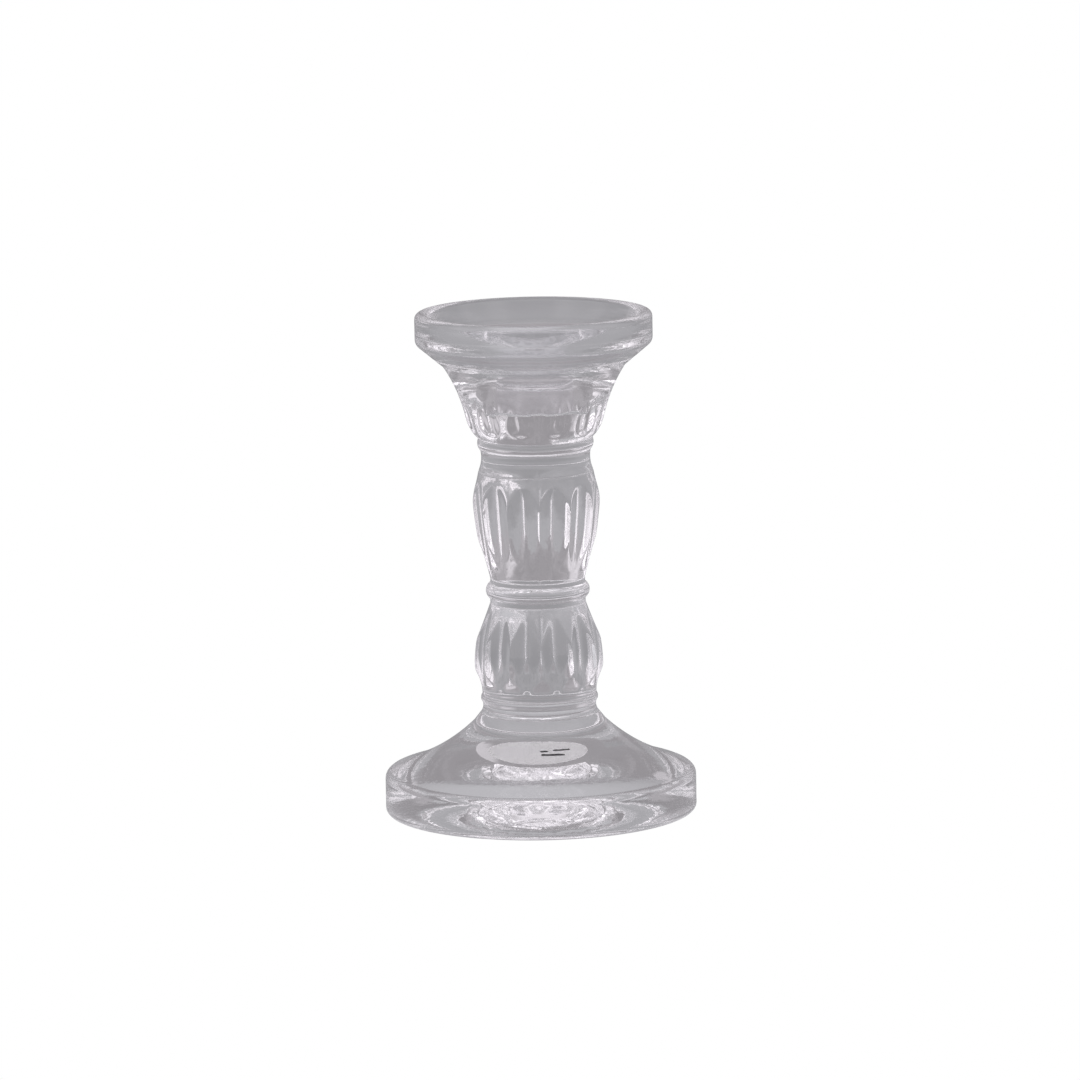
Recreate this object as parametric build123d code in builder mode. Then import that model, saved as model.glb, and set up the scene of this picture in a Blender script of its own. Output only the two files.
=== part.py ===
from build123d import *
import os
from math import degrees

# A clear pressed-glass candlestick, 150 mm tall, for a 22 mm taper candle in its socket or a small
# flat candle in the dish around it.
#
# It is a stack of nine glass sections on one vertical axis, +Z up. Each stands on the ground flat top
# of the one below, and a thin clear bond holds them together:
#   foot, foot_collar, lower_knop, middle_ring, upper_knop, neck, neck_ring, candle_nozzle, drip_pan.
# A round paper label is stuck to the roof of the hollow under the foot. Nothing moves.
# The origin is on the axis, in the plane that the foot stands on. All sizes are in millimetres.
# In an outline, a point is (distance from the axis, height), and a side is drawn from the table up.

# ---- Heights of the sections, from the table up ----
foot_height = 30.0
collar_height = 5.5
lower_knop_height = 27.5
middle_ring_height = 7.5
upper_knop_height = 32.0
neck_height = 6.5
neck_ring_height = 3.5
nozzle_height = 24.5
pan_height = 13.0

# ---- Radii of the flats where two sections meet ----
foot_joint_radius = 17.5
collar_joint_radius = 17.0
lower_ring_joint_radius = 14.2
upper_ring_joint_radius = 14.1
shoulder_joint_radius = 17.1
neck_joint_radius = 16.4
nozzle_joint_radius = 16.9
pan_joint_radius = 30.3
joint_edge = 0.35  # both sections have this rounding at a joint, which leaves a fine groove

# ---- Foot ----
foot_radius = 46.4
foot_edge_height = 12.3
foot_edge_top_rounding = 2.5
foot_edge_bottom_rounding = 1.8
foot_bell_sag = 2.0  # how far the slope above the edge curves in
foot_throat_spread = 2.2  # how far the top of the slope stands out beyond the collar
foot_throat_height = 2.8  # of the steep part between the slope and the collar
foot_throat_rounding = 5.0
standing_ring_width = 6.4  # from the outside of the foot to the mouth of the hollow
hollow_depth = 9.5
hollow_roof_radius = 14.5
hollow_wall_sag = 1.0  # how far the hollow's wall curves out into the glass
hollow_roof_rounding = 1.5
hollow_mouth_rounding = 1.2

# ---- Collar, rings and neck ----
collar_sag = 0.4
collar_bead_height = 2.2
collar_bead_depth = 0.45
ring_strip_height = 1.4  # of the plain strip above the middle ring's bead, and of the one below it
ring_bead_depth = 1.3
neck_sag = 0.5
neck_ring_depth = 0.6

# ---- Knops ----
lower_belly_radius = 19.7  # at the widest
lower_belly_height = 11.5  # of the widest place, above the knop's base
lower_belly_curve = 12.0  # radius of the side there
lower_belly_rise = 5.0  # how far that curve goes on above the widest place
lower_belly_fall = 5.5  # and below it
upper_belly_radius = 19.1
upper_belly_height = 20.5
upper_belly_curve = 26.0
upper_belly_rise = 7.0
upper_belly_fall = 9.0

# ---- Nozzle ----
socket_radius = 11.5  # a 22 mm candle has 0.5 mm to spare all round
socket_depth = 15.0
socket_mouth_chamfer = 0.8
socket_floor_rounding = 1.0
nozzle_shoulder_spread = 3.7  # how far its shoulder stands out beyond the joint below
nozzle_shoulder_height = 6.5
nozzle_shoulder_sag = 0.6
nozzle_flare_width = 3.1  # of the plain flare from the top of the fluted side out to the pan
nozzle_flare_height = 2.6

# ---- Drip pan ----
pan_radius = 35.2
pan_edge_height = 8.9
pan_edge_bottom_rounding = 2.5
pan_lip_width = 3.7
pan_lip_rounding = 1.75  # on both sides of its top, so the lip is nearly a half round
pan_lip_share = 0.48  # the lip's rounding is at most this share of its width
dish_floor_radius = 21.5
dish_wall_sag = 1.3  # how far the dish's wall curves down into the glass

# ---- Flutes round the knops and the nozzle ----
flute_count = 12
flute_nose_radius = 11.0  # of the round groove
lower_flute_depth = 2.3
upper_flute_depth = 2.1
nozzle_flute_depth = 0.9
flute_end_margin = 2.6  # along the side, from a joint to the flute's tip
nozzle_flute_end_margin = 8.5  # the same at the nozzle's top, where the flutes stop short of the flare
flute_overrun = 2.0  # how far the bar that cuts a flute runs on past each tip, outside the glass

# ---- Label ----
label_margin = 3.4  # from the label's edge, were it centred, to the edge of the roof
label_thickness = 0.15
label_offset = (-0.5, -0.3)

# ---- Heights of the joints ----
foot_top = foot_height
collar_top = foot_top + collar_height
lower_knop_top = collar_top + lower_knop_height
middle_ring_top = lower_knop_top + middle_ring_height
upper_knop_top = middle_ring_top + upper_knop_height
neck_top = upper_knop_top + neck_height
neck_ring_top = neck_top + neck_ring_height
nozzle_top = neck_ring_top + nozzle_height
rim_height = nozzle_top + pan_height

label_radius = hollow_roof_radius - label_margin

half_pitch = 180 / flute_count  # turns the flutes so that a ridge faces the front
seam_turn = half_pitch / 2  # keeps the seam of a turned face off the ridges
seam_side = Vector(1, 0, 0).rotate(Axis.Z, seam_turn)
fluted_plane = Plane((0, 0, 0), x_dir=seam_side, z_dir=seam_side.rotate(Axis.Z, -90))


def corner(outline, radius, height):
    """The corner of an outline nearest to a point."""
    return outline.vertices().sort_by_distance((radius, height))[0]


def knop_side(base, top, widest, curve, rise, fall):
    """A knop's side: an arc of radius curve round its widest place, from fall below that place to rise
    above it, and two arcs that run on smoothly from there to the joints."""
    centre = widest[0] - curve
    low = (centre + (curve**2 - fall**2) ** 0.5, widest[1] - fall)
    high = (centre + (curve**2 - rise**2) ** 0.5, widest[1] + rise)
    belly = ThreePointArc(low, widest, high)
    below = TangentArc(low, base, tangent=-(belly % 0))
    above = TangentArc(high, top, tangent=belly % 1)
    return Wire([below, belly, above])


def outward(side, at):
    """The direction out of the glass at a place on a side, which may be drawn either way up."""
    along = side % at
    return Vector(along.Y, -along.X) if along.Y > 0 else Vector(-along.Y, along.X)


def flute_tool(side, depth, top_margin=flute_end_margin):
    """A round bar, bent along a section's side, that cuts one flute: deepest midway, and nothing at its
    tips. The bar runs on past both tips, so it leaves the glass there at an angle."""
    low = flute_end_margin / side.length
    high = 1 - top_margin / side.length
    places = ((low, 0), ((low + high) / 2, depth), (high, 0))
    floor = ThreePointArc(*[side @ at - outward(side, at) * sunk for at, sunk in places])
    overrun = flute_overrun / floor.length
    bends = [floor @ at + outward(floor, at) * flute_nose_radius for at in (-overrun, 0.5, 1 + overrun)]
    with BuildPart() as tool:
        with BuildLine(Plane.XZ) as spine:
            ThreePointArc(*[(bend.X, bend.Y) for bend in bends])
        bar = spine.line.edges()[0]
        turn = Axis(bar.arc_center, (bar @ 0 - bar.arc_center).cross(bar % 0))
        with BuildSketch(Plane(bar @ 0, z_dir=bar % 0)):
            Circle(flute_nose_radius)
        revolve(axis=turn, revolution_arc=degrees(bar.length / bar.radius))
    return tool.part


# ---- Foot: a bell with an upright edge, hollow underneath ----
with BuildPart() as foot:
    mouth_radius = foot_radius - standing_ring_width
    with BuildSketch(Plane.XZ) as outline:
        with BuildLine():
            edge_top = (foot_radius, foot_edge_height)
            throat = (foot_joint_radius + foot_throat_spread, foot_top - foot_throat_height)
            joint = (foot_joint_radius, foot_top)
            roof = (hollow_roof_radius, hollow_depth)
            SagittaArc(edge_top, throat, foot_bell_sag)
            Polyline(throat, joint, (0, foot_top), (0, hollow_depth), roof)
            SagittaArc(roof, (mouth_radius, 0), hollow_wall_sag)
            Polyline((mouth_radius, 0), (foot_radius, 0), edge_top)
        make_face()
        fillet(corner(outline, *edge_top), foot_edge_top_rounding)
        fillet(corner(outline, *throat), foot_throat_rounding)
        fillet(corner(outline, foot_radius, 0), foot_edge_bottom_rounding)
        fillet(corner(outline, mouth_radius, 0), hollow_mouth_rounding)
        fillet(corner(outline, *roof), hollow_roof_rounding)
        fillet(corner(outline, *joint), joint_edge)
    revolve(axis=Axis.Z)
foot.part.label = "foot"

# ---- Collar: a short plain drum with a bead round its top ----
with BuildPart() as foot_collar:
    bead_base = (collar_joint_radius, collar_top - collar_bead_height)
    with BuildSketch(Plane.XZ) as outline:
        with BuildLine():
            base = (foot_joint_radius, foot_top)
            top = (collar_joint_radius, collar_top)
            SagittaArc(base, bead_base, collar_sag)
            SagittaArc(bead_base, top, -collar_bead_depth)
            Polyline(top, (0, collar_top), (0, foot_top), base)
        make_face()
        fillet([corner(outline, *base), corner(outline, *top)], joint_edge)
    revolve(axis=Axis.Z)
foot_collar.part.label = "foot_collar"

# ---- Lower knop: widest below its middle, with flutes round it ----
base = (collar_joint_radius, collar_top)
top = (lower_ring_joint_radius, lower_knop_top)
widest = (lower_belly_radius, collar_top + lower_belly_height)
lower_side = knop_side(base, top, widest, lower_belly_curve, lower_belly_rise, lower_belly_fall)
lower_flute = flute_tool(lower_side, lower_flute_depth)
with BuildPart() as lower_knop:
    with BuildSketch(fluted_plane) as outline:
        with BuildLine():
            add(lower_side)
            Polyline(top, (0, lower_knop_top), (0, collar_top), base)
        make_face()
        fillet([corner(outline, *base), corner(outline, *top)], joint_edge)
    revolve(axis=Axis.Z)
    with PolarLocations(0, flute_count, start_angle=half_pitch):
        add(lower_flute, mode=Mode.SUBTRACT)
lower_knop.part.label = "lower_knop"

# ---- Middle ring: a round bead between two plain strips ----
with BuildPart() as middle_ring:
    with BuildSketch(Plane.XZ) as outline:
        with BuildLine():
            base = (lower_ring_joint_radius, lower_knop_top)
            bead_base = (lower_ring_joint_radius, lower_knop_top + ring_strip_height)
            bead_top = (upper_ring_joint_radius, middle_ring_top - ring_strip_height)
            top = (upper_ring_joint_radius, middle_ring_top)
            SagittaArc(bead_base, bead_top, -ring_bead_depth)
            Polyline(bead_top, top, (0, middle_ring_top), (0, lower_knop_top), base, bead_base)
        make_face()
        fillet([corner(outline, *base), corner(outline, *top)], joint_edge)
    revolve(axis=Axis.Z)
middle_ring.part.label = "middle_ring"

# ---- Upper knop: taller, widest near its top, with flutes round it ----
base = (upper_ring_joint_radius, middle_ring_top)
top = (shoulder_joint_radius, upper_knop_top)
widest = (upper_belly_radius, middle_ring_top + upper_belly_height)
upper_side = knop_side(base, top, widest, upper_belly_curve, upper_belly_rise, upper_belly_fall)
upper_flute = flute_tool(upper_side, upper_flute_depth)
with BuildPart() as upper_knop:
    with BuildSketch(fluted_plane) as outline:
        with BuildLine():
            add(upper_side)
            Polyline(top, (0, upper_knop_top), (0, middle_ring_top), base)
        make_face()
        fillet([corner(outline, *base), corner(outline, *top)], joint_edge)
    revolve(axis=Axis.Z)
    with PolarLocations(0, flute_count, start_angle=half_pitch):
        add(upper_flute, mode=Mode.SUBTRACT)
upper_knop.part.label = "upper_knop"

# ---- Neck: plain, with a slight waist ----
with BuildPart() as neck:
    with BuildSketch(Plane.XZ) as outline:
        with BuildLine():
            base = (shoulder_joint_radius, upper_knop_top)
            top = (neck_joint_radius, neck_top)
            SagittaArc(base, top, neck_sag)
            Polyline(top, (0, neck_top), (0, upper_knop_top), base)
        make_face()
        fillet([corner(outline, *base), corner(outline, *top)], joint_edge)
    revolve(axis=Axis.Z)
neck.part.label = "neck"

# ---- Neck ring: a thin round bead under the nozzle ----
with BuildPart() as neck_ring:
    with BuildSketch(Plane.XZ) as outline:
        with BuildLine():
            base = (neck_joint_radius, neck_top)
            top = (nozzle_joint_radius, neck_ring_top)
            SagittaArc(base, top, -neck_ring_depth)
            Polyline(top, (0, neck_ring_top), (0, neck_top), base)
        make_face()
        fillet([corner(outline, *base), corner(outline, *top)], joint_edge)
    revolve(axis=Axis.Z)
neck_ring.part.label = "neck_ring"

# ---- Candle nozzle: a fluted tulip with the candle's socket sunk in its flat top ----
base = (nozzle_joint_radius, neck_ring_top)
shoulder = (nozzle_joint_radius + nozzle_shoulder_spread, neck_ring_top + nozzle_shoulder_height)
lip = (pan_joint_radius - nozzle_flare_width, nozzle_top - nozzle_flare_height)
top = (pan_joint_radius, nozzle_top)
bulge = SagittaArc(base, shoulder, -nozzle_shoulder_sag)
flare = TangentArc(shoulder, lip, tangent=bulge % 1)
nozzle_side = Wire([bulge, flare])
nozzle_flute = flute_tool(nozzle_side, nozzle_flute_depth, nozzle_flute_end_margin)
with BuildPart() as candle_nozzle:
    with BuildSketch(fluted_plane) as outline:
        with BuildLine():
            add(nozzle_side)
            mouth = (socket_radius + socket_mouth_chamfer, nozzle_top)
            wall_top = (socket_radius, nozzle_top - socket_mouth_chamfer)
            wall_foot = (socket_radius, nozzle_top - socket_depth)
            Polyline(lip, top, mouth, wall_top, wall_foot, (0, wall_foot[1]), (0, neck_ring_top), base)
        make_face()
        fillet([corner(outline, *base), corner(outline, *top)], joint_edge)
        fillet(corner(outline, *wall_foot), socket_floor_rounding)
    revolve(axis=Axis.Z)
    with PolarLocations(0, flute_count, start_angle=half_pitch):
        add(nozzle_flute, mode=Mode.SUBTRACT)
candle_nozzle.part.label = "candle_nozzle"

# ---- Drip pan: a flared ring that makes the wall of a shallow dish round the socket ----
with BuildPart() as drip_pan:
    lip_inner_radius = pan_radius - pan_lip_width
    lip_rounding = min(pan_lip_rounding, pan_lip_share * pan_lip_width)
    with BuildSketch(Plane.XZ) as outline:
        with BuildLine():
            base = (pan_joint_radius, nozzle_top)
            edge_base = (pan_radius, rim_height - pan_edge_height)
            edge_top = (pan_radius, rim_height)
            lip_inner = (lip_inner_radius, rim_height)
            dish_floor = (dish_floor_radius, nozzle_top)
            Polyline(dish_floor, base, edge_base, edge_top, lip_inner)
            SagittaArc(lip_inner, dish_floor, dish_wall_sag)
        make_face()
        fillet(corner(outline, *base), joint_edge)
        fillet(corner(outline, *edge_base), pan_edge_bottom_rounding)
        fillet([corner(outline, *edge_top), corner(outline, *lip_inner)], lip_rounding)
    revolve(axis=Axis.Z)
drip_pan.part.label = "drip_pan"

# ---- Label: a paper disc stuck to the roof of the foot's hollow, a little off the axis ----
with BuildPart() as underside_label:
    with BuildSketch(Plane.XY.offset(hollow_depth)):
        with Locations(label_offset):
            Circle(label_radius)
    extrude(amount=-label_thickness)
underside_label.part.label = "underside_label"

os.makedirs("parts", exist_ok=True)
stem = (foot_collar, lower_knop, middle_ring, upper_knop, neck, neck_ring)
for piece in (foot, *stem, candle_nozzle, drip_pan, underside_label):
    export_step(piece.part, f"parts/{piece.part.label}.step")
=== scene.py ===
import bpy
import numpy as np
from math import atan2, cos, hypot, pi, radians, sin, tan
from mathutils import Matrix, Vector


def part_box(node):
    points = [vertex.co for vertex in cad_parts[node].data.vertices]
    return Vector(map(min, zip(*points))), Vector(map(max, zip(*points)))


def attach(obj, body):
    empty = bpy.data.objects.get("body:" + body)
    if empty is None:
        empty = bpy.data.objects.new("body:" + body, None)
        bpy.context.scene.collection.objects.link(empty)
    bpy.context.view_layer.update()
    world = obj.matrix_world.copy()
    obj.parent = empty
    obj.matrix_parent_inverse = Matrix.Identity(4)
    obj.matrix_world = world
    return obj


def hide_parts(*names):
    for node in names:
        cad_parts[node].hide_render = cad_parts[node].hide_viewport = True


# A clear pressed-glass candlestick. Its nine glass sections are turned here as fine meshes on the CAD
# sections' own outlines, and the flutes are the same bent round bars. Outlines are in millimetres, as
# (distance from the axis, height), and the meshes are in metres.

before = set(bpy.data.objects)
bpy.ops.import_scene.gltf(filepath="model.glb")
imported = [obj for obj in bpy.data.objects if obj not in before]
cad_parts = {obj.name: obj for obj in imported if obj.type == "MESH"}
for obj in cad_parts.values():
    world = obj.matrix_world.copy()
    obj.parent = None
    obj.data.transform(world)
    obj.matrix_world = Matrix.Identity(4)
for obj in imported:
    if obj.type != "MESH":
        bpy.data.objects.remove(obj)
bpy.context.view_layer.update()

MM = 0.001
TINY = 1e-6
IN_LINE = 1e-9  # the determinant below which three points have no circle through them
GLASS = 0  # material indices on a glass section
BOND = 1


def heights(node):
    """The lowest and highest place of a CAD node, in millimetres."""
    low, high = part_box(node)
    return low[2] / MM, high[2] / MM


foot_top = heights("foot")[1]
collar_top = heights("foot_collar")[1]
lower_knop_top = heights("lower_knop")[1]
middle_ring_top = heights("middle_ring")[1]
upper_knop_top = heights("upper_knop")[1]
neck_top = heights("neck")[1]
neck_ring_top = heights("neck_ring")[1]
nozzle_top = heights("candle_nozzle")[1]
rim_height = heights("drip_pan")[1]
foot_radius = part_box("foot")[1][0] / MM
pan_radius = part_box("drip_pan")[1][0] / MM
label_low, label_high = (Vector(corner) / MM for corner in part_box("underside_label"))

# ---- Radii of the flats where two sections meet ----
foot_joint_radius = 17.5
collar_joint_radius = 17.0
lower_ring_joint_radius = 14.2
upper_ring_joint_radius = 14.1
shoulder_joint_radius = 17.1
neck_joint_radius = 16.4
nozzle_joint_radius = 16.9
pan_joint_radius = 30.3
joint_edge = 0.35  # both sections have this rounding at a joint
joint_slack = 1e-3  # how far off a joint's height a face may lie and still be bonded

# ---- Flutes ----
flute_count = 12
flute_nose_radius = 11.0
lower_flute_depth = 2.3
upper_flute_depth = 2.1
nozzle_flute_depth = 0.9
flute_end_margin = 2.6
nozzle_flute_end_margin = 8.5  # at its top
ridge_softness = 0.35  # how far the fire polish blends a ridge or a flute's edge
flute_fade = 0.9  # along the axis, from a flute's end to its full depth
groove_rounds = 4  # of reckoning, by which a groove's radius has settled
nose_share = 0.999  # of the nose's radius that a groove may reach across
tangent_reach = 0.05  # either side of a place, to find which way the outline runs there

# ---- The fire-polished surface ----
ripple_depth = 0.05  # of the faint unevenness that pressed glass has
ripple_fade = 1.5  # along the outline, from a section's end to the ripple's full depth
seam_height = 0.10  # of the fin that each of the mould's two joints leaves
seam_width = 0.45

glass_bounces = 64  # light takes long paths inside the glass
columns_per_flute = 26
columns = flute_count * columns_per_flute
sharp_angle = 50  # between faces, in degrees, from which an edge isn't smoothed

# ---- How far apart an outline's points are, where it isn't the usual 0.5 ----
flat_step = 4
dish_floor_step = 3
hollow_roof_step = 2
socket_wall_step = 1
bell_step = 0.8
pan_step = 0.6
short_step = 0.4  # on the foot's throat and the nozzle's flare
fine_step = 0.3  # on a small bead, strip or chamfer

# ---- Where a side begins and ends on a section's outline ----
plain_points = 2  # at each end of a side, which no flute, ripple or fin reaches
edge_share = 1.2  # of a joint's rounding, inside the joint's radius, where the side begins
throat_edge_share = 0.9  # the same at the foot's joint
foot_edge_gap = 1e-3  # inside the foot's radius, where the upright edge begins
nozzle_side_gap = 0.05  # outside its joint, where the nozzle's side begins
pan_side_gap = 0.1  # the same for the pan
pan_top_gap = 0.2  # below the rim, where the pan's side ends


# ---------------------------------------------------------------- outlines

def circle_centre(start, middle, end):
    """The centre of the circle through three points, or None where they are in line."""
    (ax, ay), (bx, by), (cx, cy) = start, middle, end
    d = 2 * (ax * (by - cy) + bx * (cy - ay) + cx * (ay - by))
    if abs(d) < IN_LINE:
        return None
    a2, b2, c2 = ax * ax + ay * ay, bx * bx + by * by, cx * cx + cy * cy
    return (
        (a2 * (by - cy) + b2 * (cy - ay) + c2 * (ay - by)) / d,
        (a2 * (cx - bx) + b2 * (ax - cx) + c2 * (bx - ax)) / d,
    )


def arc_through(start, middle, end, step=0.5):
    """Points along the arc from start to end through middle, about one step apart."""
    centre = circle_centre(start, middle, end)
    if centre is None:
        return line(start, end, step)
    radius = hypot(start[0] - centre[0], start[1] - centre[1])
    first, at_middle, last = (atan2(y - centre[1], x - centre[0]) for x, y in (start, middle, end))
    turn = (last - first) % (2 * pi)
    if (at_middle - first) % (2 * pi) > turn:
        turn -= 2 * pi
    count = max(4, int(abs(turn) * radius / step))
    angles = first + turn * np.linspace(0, 1, count + 1)
    return np.column_stack((centre[0] + radius * np.cos(angles), centre[1] + radius * np.sin(angles)))


def line(start, end, step=0.5):
    """Points along a straight line, about one step apart."""
    count = max(1, int(hypot(end[0] - start[0], end[1] - start[1]) / step))
    return np.linspace(start, end, count + 1)


def bowed_arc(start, end, bow, step=0.5):
    """An arc whose middle stands bow to the right of the straight line from start to end."""
    start, end = np.array(start, float), np.array(end, float)
    along = end - start
    right = np.array((along[1], -along[0])) / np.linalg.norm(along)
    return arc_through(start, (start + end) / 2 + right * bow, end, step)


def tangent_arc(start, direction, end, step=0.5):
    """An arc that leaves start in a direction and arrives at end."""
    start, end = np.array(start, float), np.array(end, float)
    along = end - start
    turn = atan2(
        direction[0] * along[1] - direction[1] * along[0],
        direction[0] * along[0] + direction[1] * along[1],
    )
    bow = np.linalg.norm(along) / 2 * tan(turn / 2)
    return bowed_arc(start, end, bow, step)


def joined(*runs):
    """One line of points from runs that each begin where the last one ended. A number between two runs is
    the radius of the rounding there."""
    points = np.array(runs[0], float)
    rounding = 0
    for run in runs[1:]:
        if np.isscalar(run):
            rounding = run
            continue
        run = np.array(run, float)
        if rounding:
            points, run = rounded(points, run, rounding)
            rounding = 0
        points = np.vstack((points, run[1:]))
    return points


def rounded(before, after, radius, count=5):
    """Two runs with the corner between them rounded: the rounding's points end the first one."""
    corner = before[-1]
    into = corner - point_from_end(before, radius)
    out = point_from_end(after[::-1], radius) - corner
    turn = abs(atan2(into[0] * out[1] - into[1] * out[0], into @ out))
    cut = radius * tan(turn / 2)
    start = point_from_end(before, cut)
    end = point_from_end(after[::-1], cut)
    head = before[lengths(before) < lengths(before)[-1] - cut - TINY]
    tail = after[lengths(after) > cut + TINY]
    weight = cos(turn / 2)
    at = np.linspace(0, 1, count + 1)[:, None]
    bend = (1 - at) ** 2 * start + 2 * weight * at * (1 - at) * corner + at**2 * end
    bend /= (1 - at) ** 2 + 2 * weight * at * (1 - at) + at**2
    return np.vstack((head, bend)), np.vstack((end, tail))


def lengths(points):
    """How far along a line of points each one is."""
    return np.concatenate(((0,), np.cumsum(np.linalg.norm(np.diff(points, axis=0), axis=1))))


def point_at(points, distance):
    """The place on a line of points at a distance from its start."""
    along = lengths(points)
    return np.array([np.interp(distance, along, points[:, axis]) for axis in (0, 1)])


def point_from_end(points, distance):
    return point_at(points, lengths(points)[-1] - distance)


def knop_side(base, top, widest, curve, rise, fall):
    """A knop's side from base to top: an arc round its widest place, run out smoothly to both joints."""
    centre = widest[0] - curve
    low = (centre + (curve**2 - fall**2) ** 0.5, widest[1] - fall)
    high = (centre + (curve**2 - rise**2) ** 0.5, widest[1] + rise)
    belly = arc_through(low, widest, high)
    below = tangent_arc(low, (-fall / curve, -(1 - (fall / curve) ** 2) ** 0.5), base)
    above = tangent_arc(high, (-rise / curve, (1 - (rise / curve) ** 2) ** 0.5), top)
    return joined(below[::-1], belly, above)


# ---------------------------------------------------------------- flutes

def smooth_min(a, b, softness):
    """The smaller of two radii, with the corner between them blended."""
    near = np.maximum(softness - np.abs(a - b), 0) / softness
    return np.minimum(a, b) - near * near * softness / 4


class Flutes:
    """The round grooves cut into a section's side, as radii at any height and direction."""

    def __init__(self, side, depth, top_margin=flute_end_margin):
        first, last = flute_end_margin, lengths(side)[-1] - top_margin
        floor = []
        for at, sunk in ((first, 0), ((first + last) / 2, depth), (last, 0)):
            here = point_at(side, at)
            ahead = point_at(side, at + tangent_reach) - point_at(side, at - tangent_reach)
            outward = np.array((ahead[1], -ahead[0])) / np.linalg.norm(ahead)
            floor.append(here - outward * sunk)
        (_, self.low), deepest, (_, self.high) = floor
        self.centre = circle_centre(*floor)
        self.bends_in = self.centre[0] > deepest[0]
        reach = hypot(deepest[0] - self.centre[0], deepest[1] - self.centre[1])
        self.spine = reach - flute_nose_radius if self.bends_in else reach + flute_nose_radius

    def groove(self, radius, height, turn):
        """The radius at which one groove's surface lies, at an angle from the middle of the groove."""
        found = radius
        for _ in range(groove_rounds):
            across = np.minimum(np.abs(found * np.sin(turn)), flute_nose_radius * nose_share)
            nose = np.sqrt(flute_nose_radius**2 - across**2)
            away = self.spine + nose if self.bends_in else self.spine - nose
            out = np.sqrt(np.maximum(away**2 - (height - self.centre[1]) ** 2, 0))
            found = (self.centre[0] - out if self.bends_in else self.centre[0] + out) / np.cos(turn)
        return found

    def cut(self, radius, height, angle):
        """The section's radius once the grooves are cut."""
        pitch = 2 * pi / flute_count
        turn = (angle % pitch) - pitch / 2
        beside = turn - np.sign(turn) * pitch
        groove = smooth_min(
            self.groove(radius, height, turn), self.groove(radius, height, beside), ridge_softness
        )
        fade_in = np.clip((height - self.low) / flute_fade, 0, 1)
        fade_out = np.clip((self.high - height) / flute_fade, 0, 1)
        return radius - fade_in * fade_out * (radius - smooth_min(radius, groove, ridge_softness))


# ---------------------------------------------------------------- glass sections

def ripple(angle, height, seed):
    """Faint, slow unevenness of the glass, from 0 to 1."""
    waves = (
        np.sin(3 * angle + 0.11 * height + seed)
        + np.sin(5 * angle - 0.23 * height + 2.1 * seed)
        + np.sin(8 * angle + 0.37 * height + 3.7 * seed)
        + np.sin(-2 * angle + 0.52 * height + 5.3 * seed)
    )
    return 0.5 + waves / 8


def fin(angle, radius):
    """How far the mould's fins stand out, one at the front and one at the back."""
    off_seam = np.cos(angle) * radius
    return seam_height * np.exp(-((off_seam / (seam_width / 2)) ** 2))


def turned(name, outline, side, flutes=None, seed=0.0, joints=()):
    """A glass section turned round the axis. The outline runs from the axis at the bottom round the outside
    to the axis at the top. Flutes, ripple and fins go on its points between the two indices in side. joints
    holds the stretches of flat bonded to a neighbour, as (height, least radius, greatest radius)."""
    outline = np.array(outline, float)
    angles = np.arange(columns) * 2 * pi / columns
    verts, ring_start = [], []
    first, last = side
    for row, (radius, height) in enumerate(outline):
        if row and np.allclose(outline[row], outline[0]):
            ring_start.append(ring_start[0])
            continue
        ring_start.append(len(verts))
        if radius < TINY:
            verts.append((0.0, 0.0, height * MM))
            continue
        reach = np.full(columns, radius)
        if first < row < last:
            along = lengths(outline[first : last + 1])
            done, left = along[row - first], along[-1] - along[row - first]
            ends = min(1, done / ripple_fade, left / ripple_fade)
            if flutes is not None:
                reach = flutes.cut(reach, np.full(columns, height), angles)
            reach = reach - ends * ripple_depth * ripple(angles, height, seed)
            reach = np.minimum(reach + ends * fin(angles, radius), foot_radius)
        x, y = reach * np.cos(angles) * MM, reach * np.sin(angles) * MM
        verts.extend(zip(x, y, np.full(columns, height * MM)))
    faces, slots = [], []
    for row in range(len(outline) - 1):
        (low_radius, low), (high_radius, high) = outline[row], outline[row + 1]
        a, b = ring_start[row], ring_start[row + 1]
        middle = (low_radius + high_radius) / 2
        level = abs(low - high) < TINY
        bonded = level and any(
            abs(low - z) < joint_slack and least < middle < most for z, least, most in joints
        )
        for k in range(columns):
            n = (k + 1) % columns
            if low_radius < TINY:
                faces.append((a, b + n, b + k))
            elif high_radius < TINY:
                faces.append((a + k, a + n, b))
            else:
                faces.append((a + k, a + n, b + n, b + k))
            slots.append(BOND if bonded else GLASS)
    glass_piece(name, verts, faces, slots)


def glass_piece(name, verts, faces, slots):
    mesh = bpy.data.meshes.new(name)
    mesh.from_pydata(verts, [], faces)
    mesh.polygons.foreach_set("material_index", slots)
    mesh.polygons.foreach_set("use_smooth", [True] * len(faces))
    mesh.set_sharp_from_angle(angle=radians(sharp_angle))
    mesh.materials.append(glass)
    mesh.materials.append(bond)
    mesh.update()
    piece = bpy.data.objects.new(name + "_glass", mesh)
    bpy.context.scene.collection.objects.link(piece)
    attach(piece, "root")
    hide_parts(name)


def section(name, side, flutes=None, seed=0.0):
    """A solid section between two flat joints, from its side alone."""
    side = np.array(side, float)
    (base_radius, base), (top_radius, top) = side[0], side[-1]
    bottom = line((0, base), side[0], flat_step)
    outline = joined(bottom, joint_edge, side, joint_edge, line(side[-1], (0, top), flat_step))
    edge = joint_edge * edge_share
    inner = int(np.argmax(outline[:, 0] > base_radius - edge))
    outer = len(outline) - 1 - int(np.argmax(outline[::-1, 0] > top_radius - edge))
    joints = ((base, 0, base_radius), (top, 0, top_radius))
    turned(name, outline, (inner + plain_points, outer - plain_points), flutes, seed, joints)


# ---------------------------------------------------------------- materials

def node_material(name):
    material = bpy.data.materials.new(name)
    material.use_nodes = True
    nodes, links = material.node_tree.nodes, material.node_tree.links
    return material, nodes, links, nodes["Principled BSDF"]


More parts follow.
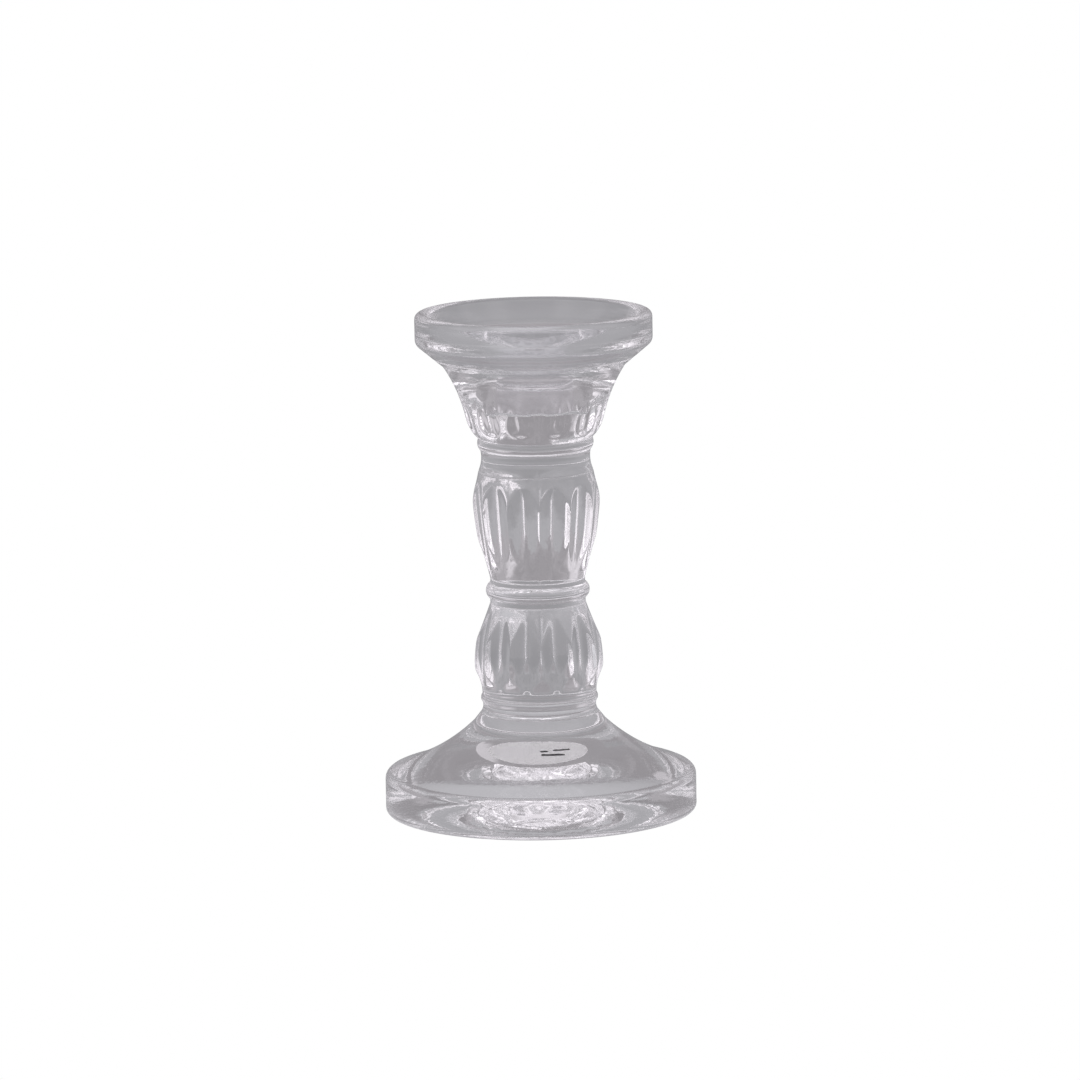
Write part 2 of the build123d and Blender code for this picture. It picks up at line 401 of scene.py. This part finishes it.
def add_noise(nodes, links, scale, detail):
    """Noise that is fixed to the piece, as the socket with its value from 0 to 1."""
    place = nodes.new("ShaderNodeTexCoord")
    noise = nodes.new("ShaderNodeTexNoise")
    noise.inputs["Scale"].default_value = scale
    noise.inputs["Detail"].default_value = detail
    links.new(place.outputs["Object"], noise.inputs["Vector"])
    return noise.outputs["Fac"]


def add_bump(nodes, links, height, shader, strength, distance):
    bump = nodes.new("ShaderNodeBump")
    bump.inputs["Strength"].default_value = strength
    bump.inputs["Distance"].default_value = distance
    links.new(height, bump.inputs["Height"])
    links.new(bump.outputs["Normal"], shader.inputs["Normal"])


def add_tone(nodes, links, value, shader, dark, light, light_from=1.0):
    """The base colour, which runs from dark at 0 to light at light_from."""
    tone = nodes.new("ShaderNodeValToRGB")
    tone.color_ramp.elements[0].color = dark
    tone.color_ramp.elements[1].position = light_from
    tone.color_ramp.elements[1].color = light
    links.new(value, tone.inputs["Fac"])
    links.new(tone.outputs["Color"], shader.inputs["Base Color"])


def emptied(tree):
    tree.nodes.clear()
    return tree.nodes, tree.links


def make_glass():
    """Clear soda-lime glass with a fire-polished skin: nearly smooth, with a faint orange peel."""
    material, nodes, links, shader = node_material("clear_pressed_glass")
    shader.inputs["Base Color"].default_value = (0.975, 0.972, 0.985, 1)
    shader.inputs["Transmission Weight"].default_value = 1.0
    shader.inputs["Roughness"].default_value = 0.03
    shader.inputs["IOR"].default_value = 1.5
    peel = add_noise(nodes, links, scale=260.0, detail=2.0)
    add_bump(nodes, links, peel, shader, strength=0.12, distance=0.0004)
    return material


def make_bond():
    """The clear bond between two ground flats. It bends no light, because its index is the glass's own."""
    material = bpy.data.materials.new("clear_bond")
    material.use_nodes = True
    nodes, links = emptied(material.node_tree)
    through = nodes.new("ShaderNodeBsdfTransparent")
    output = nodes.new("ShaderNodeOutputMaterial")
    links.new(through.outputs["BSDF"], output.inputs["Surface"])
    return material


def make_paper():
    """Matt white label paper, with a fine fibre and slight cockling, and a faint painted glow that stands in
    for more light reaching it through the glass.
    """
    material, nodes, links, shader = node_material("label_paper")
    fibre = add_noise(nodes, links, scale=1400.0, detail=6.0)
    add_tone(nodes, links, fibre, shader, dark=(0.90, 0.90, 0.90, 1), light=(0.97, 0.97, 0.97, 1))
    # painted light: a faint white glow stands in for the brighter light the paper would get through the glass
    shader.inputs["Emission Color"].default_value = (1, 1, 1, 1)
    shader.inputs["Emission Strength"].default_value = 0.12
    shader.inputs["Roughness"].default_value = 0.8
    add_bump(nodes, links, fibre, shader, strength=0.3, distance=0.00005)
    return material


def make_ink():
    """Black printing ink, a little worn, on the paper."""
    material, nodes, links, shader = node_material("label_ink")
    wear = add_noise(nodes, links, scale=900.0, detail=5.0)
    black, worn = (0.012, 0.012, 0.014, 1), (0.06, 0.06, 0.065, 1)
    add_tone(nodes, links, wear, shader, dark=black, light=worn, light_from=0.8)
    shader.inputs["Roughness"].default_value = 0.6
    return material


glass = make_glass()
bond = make_bond()
paper = make_paper()
ink = make_ink()


# ---------------------------------------------------------------- the sections, from the table up

# ---- Foot ----
foot_edge_height = 12.3
foot_edge_top_rounding = 2.5
foot_edge_bottom_rounding = 1.8
foot_bell_sag = 2.0
foot_throat_spread = 2.2
foot_throat_height = 2.8
foot_throat_rounding = 5.0
standing_ring_width = 6.4
hollow_roof_radius = 14.5
hollow_wall_sag = 1.0
hollow_roof_rounding = 1.5
hollow_mouth_rounding = 1.2

mouth = (foot_radius - standing_ring_width, 0)
roof = (hollow_roof_radius, label_high[2])
edge_base = (foot_radius, 0)
edge_top = (foot_radius, foot_edge_height)
throat = (foot_joint_radius + foot_throat_spread, foot_top - foot_throat_height)
joint = (foot_joint_radius, foot_top)
under = joined(
    line((0, roof[1]), roof, hollow_roof_step), hollow_roof_rounding,
    bowed_arc(roof, mouth, -hollow_wall_sag, bell_step), hollow_mouth_rounding, line(mouth, edge_base),
)
outside = joined(
    line(edge_base, edge_top), foot_edge_top_rounding,
    bowed_arc(edge_top, throat, -foot_bell_sag, bell_step), foot_throat_rounding,
    line(throat, joint, short_step), joint_edge, line(joint, (0, foot_top), flat_step),
)
foot_outline = joined(under, foot_edge_bottom_rounding, outside)
band = int(np.argmax(foot_outline[:, 0] > foot_radius - foot_edge_gap))
past_joint = foot_outline[::-1, 0] > foot_joint_radius - joint_edge * throat_edge_share
foot_end = len(foot_outline) - 1 - int(np.argmax(past_joint))
turned(
    "foot", foot_outline, (band, foot_end - plain_points), seed=0.4,
    joints=((foot_top, 0, foot_joint_radius),),
)

# ---- Collar ----
collar_sag = 0.4
collar_bead_height = 2.2
collar_bead_depth = 0.45
bead_base = (collar_joint_radius, collar_top - collar_bead_height)
collar_side = joined(
    bowed_arc((foot_joint_radius, foot_top), bead_base, -collar_sag, fine_step),
    bowed_arc(bead_base, (collar_joint_radius, collar_top), collar_bead_depth, fine_step),
)
section("foot_collar", collar_side, seed=1.3)

# ---- Lower knop ----
lower_belly_radius = 19.7
lower_belly_height = 11.5
lower_side = knop_side(
    (collar_joint_radius, collar_top), (lower_ring_joint_radius, lower_knop_top),
    widest=(lower_belly_radius, collar_top + lower_belly_height), curve=12.0, rise=5.0, fall=5.5,
)
section("lower_knop", lower_side, Flutes(lower_side, lower_flute_depth), seed=2.2)

# ---- Middle ring ----
ring_strip_height = 1.4
ring_bead_depth = 1.3
strip_top = (lower_ring_joint_radius, lower_knop_top + ring_strip_height)
strip_base = (upper_ring_joint_radius, middle_ring_top - ring_strip_height)
ring_side = joined(
    line((lower_ring_joint_radius, lower_knop_top), strip_top, fine_step),
    bowed_arc(strip_top, strip_base, ring_bead_depth, fine_step),
    line(strip_base, (upper_ring_joint_radius, middle_ring_top), fine_step),
)
section("middle_ring", ring_side, seed=3.1)

# ---- Upper knop ----
upper_belly_radius = 19.1
upper_belly_height = 20.5
upper_side = knop_side(
    (upper_ring_joint_radius, middle_ring_top), (shoulder_joint_radius, upper_knop_top),
    widest=(upper_belly_radius, middle_ring_top + upper_belly_height), curve=26.0, rise=7.0, fall=9.0,
)
section("upper_knop", upper_side, Flutes(upper_side, upper_flute_depth), seed=4.5)

# ---- Neck and neck ring ----
neck_sag = 0.5
neck_ring_depth = 0.6
neck_side = bowed_arc((shoulder_joint_radius, upper_knop_top), (neck_joint_radius, neck_top), -neck_sag)
section("neck", neck_side, seed=5.2)
neck_ring_side = bowed_arc(
    (neck_joint_radius, neck_top), (nozzle_joint_radius, neck_ring_top), neck_ring_depth, fine_step
)
section("neck_ring", neck_ring_side, seed=6.4)

# ---- Candle nozzle ----
socket_radius = 11.5
socket_depth = 15.0
socket_mouth_chamfer = 0.8
socket_floor_rounding = 1.0
nozzle_shoulder_spread = 3.7
nozzle_shoulder_height = 6.5
nozzle_shoulder_sag = 0.6
nozzle_flare_width = 3.1
nozzle_flare_height = 2.6
nozzle_lip_rounding = 0.4
dish_floor_radius = 21.5

base = (nozzle_joint_radius, neck_ring_top)
shoulder = (nozzle_joint_radius + nozzle_shoulder_spread, neck_ring_top + nozzle_shoulder_height)
lip = (pan_joint_radius - nozzle_flare_width, nozzle_top - nozzle_flare_height)
bulge = bowed_arc(base, shoulder, nozzle_shoulder_sag)
nozzle_side = joined(bulge, tangent_arc(shoulder, bulge[-1] - bulge[-2], lip))
flare_top = (pan_joint_radius, nozzle_top)
dish_floor = (dish_floor_radius, nozzle_top)
socket_mouth = (socket_radius + socket_mouth_chamfer, nozzle_top)
wall_top = (socket_radius, nozzle_top - socket_mouth_chamfer)
wall_foot = (socket_radius, nozzle_top - socket_depth)
nozzle_outline = joined(
    line((0, neck_ring_top), base, flat_step), joint_edge, nozzle_side, nozzle_lip_rounding,
    line(lip, flare_top, short_step), joint_edge, line(flare_top, dish_floor, dish_floor_step),
    line(dish_floor, socket_mouth, dish_floor_step), line(socket_mouth, wall_top, fine_step),
    line(wall_top, wall_foot, socket_wall_step), socket_floor_rounding,
    line(wall_foot, (0, wall_foot[1]), dish_floor_step),
)
nozzle_start = int(np.argmax(nozzle_outline[:, 0] > nozzle_joint_radius + nozzle_side_gap))
nozzle_end = int(np.argmax(nozzle_outline[:, 0]))
nozzle_flutes = Flutes(nozzle_side, nozzle_flute_depth, nozzle_flute_end_margin)
lip_points = 3  # below the flare's top, left plain
turned(
    "candle_nozzle", nozzle_outline, (nozzle_start, nozzle_end - lip_points), nozzle_flutes, seed=7.7,
    joints=((neck_ring_top, 0, nozzle_joint_radius), (nozzle_top, dish_floor_radius, pan_joint_radius)),
)

# ---- Drip pan ----
pan_edge_height = 8.9
pan_edge_bottom_rounding = 2.5
pan_lip_width = 3.7
pan_lip_rounding = 1.75
dish_wall_sag = 1.3


def make_pan():
    """A ring, so its outline is a loop: from the dish's floor round the outside and back down the wall."""
    edge_base = (pan_radius, rim_height - pan_edge_height)
    edge_top = (pan_radius, rim_height)
    lip_inner = (pan_radius - pan_lip_width, rim_height)
    outline = joined(
        line(dish_floor, flare_top, dish_floor_step), joint_edge, line(flare_top, edge_base),
        pan_edge_bottom_rounding, line(edge_base, edge_top), pan_lip_rounding,
        line(edge_top, lip_inner, pan_step), pan_lip_rounding,
        bowed_arc(lip_inner, dish_floor, -dish_wall_sag, pan_step),
    )
    start = int(np.argmax(outline[:, 0] > pan_joint_radius + pan_side_gap))
    end = int(np.argmax(outline[:, 1] > rim_height - pan_top_gap))
    joints = ((nozzle_top, dish_floor_radius, pan_joint_radius),)
    turned("drip_pan", outline, (start, end), seed=8.6, joints=joints)


make_pan()


# ---------------------------------------------------------------- label under the foot

label_centre = (label_low + label_high) / 2
label_radius = (label_high[0] - label_low[0]) / 2
label_sunk = 0.03  # its adhesive wets the glass, so the paper's top is drawn just inside the roof
label_edge_wave = 0.004  # how uneven its cut edge is, as a share of its radius
print_lift = 0.02  # how far the ink stands above the paper
print_bite = 0.01  # and how far it reaches down into it


def disc(name, centre, width, depth, low, high, material, edge_wave=0.0, count=96):
    """A thin flat plate with round ends, width by depth, between two heights."""
    spare = (width - depth) / 2
    rim = []
    for k in range(count):
        angle = 2 * pi * k / count
        reach = depth / 2 * (1 + edge_wave * sin(7 * angle + 1.0) * sin(3 * angle))
        beside = spare if cos(angle) > 0 else -spare
        rim.append((centre[0] + reach * cos(angle) + beside, centre[1] + reach * sin(angle)))
    verts = [(x * MM, y * MM, z * MM) for z in (low, high) for x, y in rim]
    sides = [(k, (k + 1) % count, count + (k + 1) % count, count + k) for k in range(count)]
    faces = sides + [tuple(range(count))[::-1], tuple(range(count, 2 * count))]
    mesh = bpy.data.meshes.new(name)
    mesh.from_pydata(verts, [], faces)
    mesh.materials.append(material)
    mesh.update()
    piece = bpy.data.objects.new(name, mesh)
    bpy.context.scene.collection.objects.link(piece)
    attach(piece, "root")
    return piece


label_top = label_high[2] + label_sunk
label = disc(
    "label_paper_disc", label_centre, 2 * label_radius, 2 * label_radius, label_low[2], label_top, paper,
    label_edge_wave,
)
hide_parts("underside_label")

# The mark printed on it is three plain bars.
bars = (
    # its middle, from the label's, and its width and depth
    ((3.4, -2.4), 5.4, 1.8),
    ((1.3, 1.0), 1.9, 1.8),
    ((5.0, 2.0), 3.8, 1.5),
)
for number, (offset, width, depth) in enumerate(bars):
    centre = (label_centre[0] + offset[0], label_centre[1] + offset[1])
    low, high = label_top - print_bite, label_top + print_lift
    disc(f"label_bar_{number}", centre, width, depth, low, high, ink, count=32)


# ---------------------------------------------------------------- stage, light and camera

floor_tint = (0.99, 0.98, 1.02, 1)
room_tint = (1.01, 0.965, 1.01, 1)
floor_reach = 3.0  # from the axis to each edge
floor_gap = 0.0002  # keeps the floor off the foot's own face
floor_level = 0.40
floor_pools = (
    # its middle on the floor, its inner and outer radius, brightness added
    ((-0.02, -0.03), 0.03, 0.09, 0.14),
    ((-0.42, -0.10), 0.10, 0.36, 0.30),
    ((0.48, -0.05), 0.10, 0.36, 0.28),
    ((0.02, 0.19), 0.06, 0.14, -0.08),
    ((0.0, 0.85), 0.35, 0.75, -0.08),
)
room_level = 0.40
room_panels = (
    # azimuth and elevation of its middle, half-width and softness in degrees, brightness added
    (90, 88, 18, 16, 0.4),
    (205, 32, 20, 16, 0.60),
    (-25, 34, 18, 16, 0.55),
    (-90, 26, 38, 22, 0.60),
    (125, 10, 5, 5, 0.30),
    (62, 14, 5, 5, 0.28),
    (150, 6, 9, 6, -0.12),
    (28, 6, 9, 6, -0.12),
    (90, 30, 26, 14, -0.09),
)


def constant(nodes, value):
    node = nodes.new("ShaderNodeValue")
    node.outputs[0].default_value = value
    return node.outputs[0]


def with_pool(nodes, links, level, measure, limits, strength):
    """The light level with a soft pool added, which grows from nothing at the first limit of a measure to its
    full strength at the second."""
    spread = nodes.new("ShaderNodeMapRange")
    spread.interpolation_type = "SMOOTHSTEP"
    spread.inputs["From Min"].default_value = limits[0]
    spread.inputs["From Max"].default_value = limits[1]
    spread.inputs["To Max"].default_value = strength
    links.new(measure, spread.inputs["Value"])
    add = nodes.new("ShaderNodeMath")
    links.new(level, add.inputs[0])
    links.new(spread.outputs["Result"], add.inputs[1])
    return add.outputs[0]


def stage_white(nodes, links, grey):
    """A shader that is plain white where the camera looks at it and a soft grey where the glass does."""
    white = nodes.new("ShaderNodeEmission")
    white.inputs["Color"].default_value = (1, 1, 1, 1)
    white.inputs["Strength"].default_value = 1.0
    path = nodes.new("ShaderNodeLightPath")
    mix = nodes.new("ShaderNodeMixShader")
    links.new(path.outputs["Is Camera Ray"], mix.inputs[0])
    links.new(grey.outputs[0], mix.inputs[1])
    links.new(white.outputs[0], mix.inputs[2])
    return mix


def make_floor():
    material = bpy.data.materials.new("studio_floor")
    material.use_nodes = True
    nodes, links = emptied(material.node_tree)
    place = nodes.new("ShaderNodeTexCoord")
    level = constant(nodes, floor_level)
    for centre, inner, outer, strength in floor_pools:
        away = nodes.new("ShaderNodeVectorMath")
        away.operation = "DISTANCE"
        away.inputs[1].default_value = (*centre, 0)
        links.new(place.outputs["Object"], away.inputs[0])
        level = with_pool(nodes, links, level, away.outputs["Value"], (outer, inner), strength)
    grey = nodes.new("ShaderNodeEmission")
    grey.inputs["Color"].default_value = floor_tint
    links.new(level, grey.inputs["Strength"])
    output = nodes.new("ShaderNodeOutputMaterial")
    links.new(stage_white(nodes, links, grey).outputs[0], output.inputs["Surface"])
    far = floor_reach
    mesh = bpy.data.meshes.new("studio_floor")
    mesh.from_pydata([(-far, -far, 0), (far, -far, 0), (far, far, 0), (-far, far, 0)], [], [(0, 1, 2, 3)])
    mesh.materials.append(material)
    floor = bpy.data.objects.new("studio_floor", mesh)
    floor.location.z = -floor_gap
    bpy.context.scene.collection.objects.link(floor)


def make_world():
    """A grey room with soft white boxes and dark panels in it, which the glass bends and mirrors."""
    world = bpy.data.worlds.new("studio")
    bpy.context.scene.world = world
    world.use_nodes = True
    nodes, links = world.node_tree.nodes, world.node_tree.links
    nodes.clear()
    place = nodes.new("ShaderNodeTexCoord")
    level = constant(nodes, room_level)
    for azimuth, elevation, width, soft, strength in room_panels:
        a, e = radians(azimuth), radians(elevation)
        facing = nodes.new("ShaderNodeVectorMath")
        facing.operation = "DOT_PRODUCT"
        facing.inputs[1].default_value = (cos(a) * cos(e), sin(a) * cos(e), sin(e))
        links.new(place.outputs["Generated"], facing.inputs[0])
        limits = (cos(radians(width + soft)), cos(radians(width)))
        level = with_pool(nodes, links, level, facing.outputs["Value"], limits, strength)
    room = nodes.new("ShaderNodeBackground")
    links.new(level, room.inputs["Strength"])
    room.inputs["Color"].default_value = room_tint
    output = nodes.new("ShaderNodeOutputWorld")
    links.new(stage_white(nodes, links, room).outputs[0], output.inputs["Surface"])


camera_distance = 2.0
camera_elevation = 9.6  # degrees, like the next two
camera_azimuth = -92.5
camera_roll = -0.95
camera_target = (0.0009, 0, 0.0815)
camera_lens = 224.5  # millimetres, like the sensor's width
camera_sensor = 36


def make_camera():
    """A long lens, a little above the rim and turned so that a ridge is just right of centre."""
    elevation, azimuth = radians(camera_elevation), radians(camera_azimuth)
    data = bpy.data.cameras.new("camera")
    data.sensor_width = camera_sensor
    data.lens = camera_lens
    camera = bpy.data.objects.new("camera", data)
    bpy.context.scene.collection.objects.link(camera)
    target = Vector(camera_target)
    away = Vector((cos(elevation) * cos(azimuth), cos(elevation) * sin(azimuth), sin(elevation)))
    aim = (-away).to_track_quat("-Z", "Y").to_matrix().to_4x4()
    roll = Matrix.Rotation(radians(camera_roll), 4, "Z")
    camera.matrix_world = Matrix.Translation(target + away * camera_distance) @ aim @ roll
    bpy.context.scene.camera = camera


make_floor()
make_world()
make_camera()
bpy.context.scene.view_settings.view_transform = "Standard"
bpy.context.scene.cycles.max_bounces = glass_bounces
bpy.context.scene.cycles.transmission_bounces = glass_bounces
bpy.context.scene.cycles.glossy_bounces = glass_bounces
bpy.context.scene.cycles.transparent_max_bounces = glass_bounces
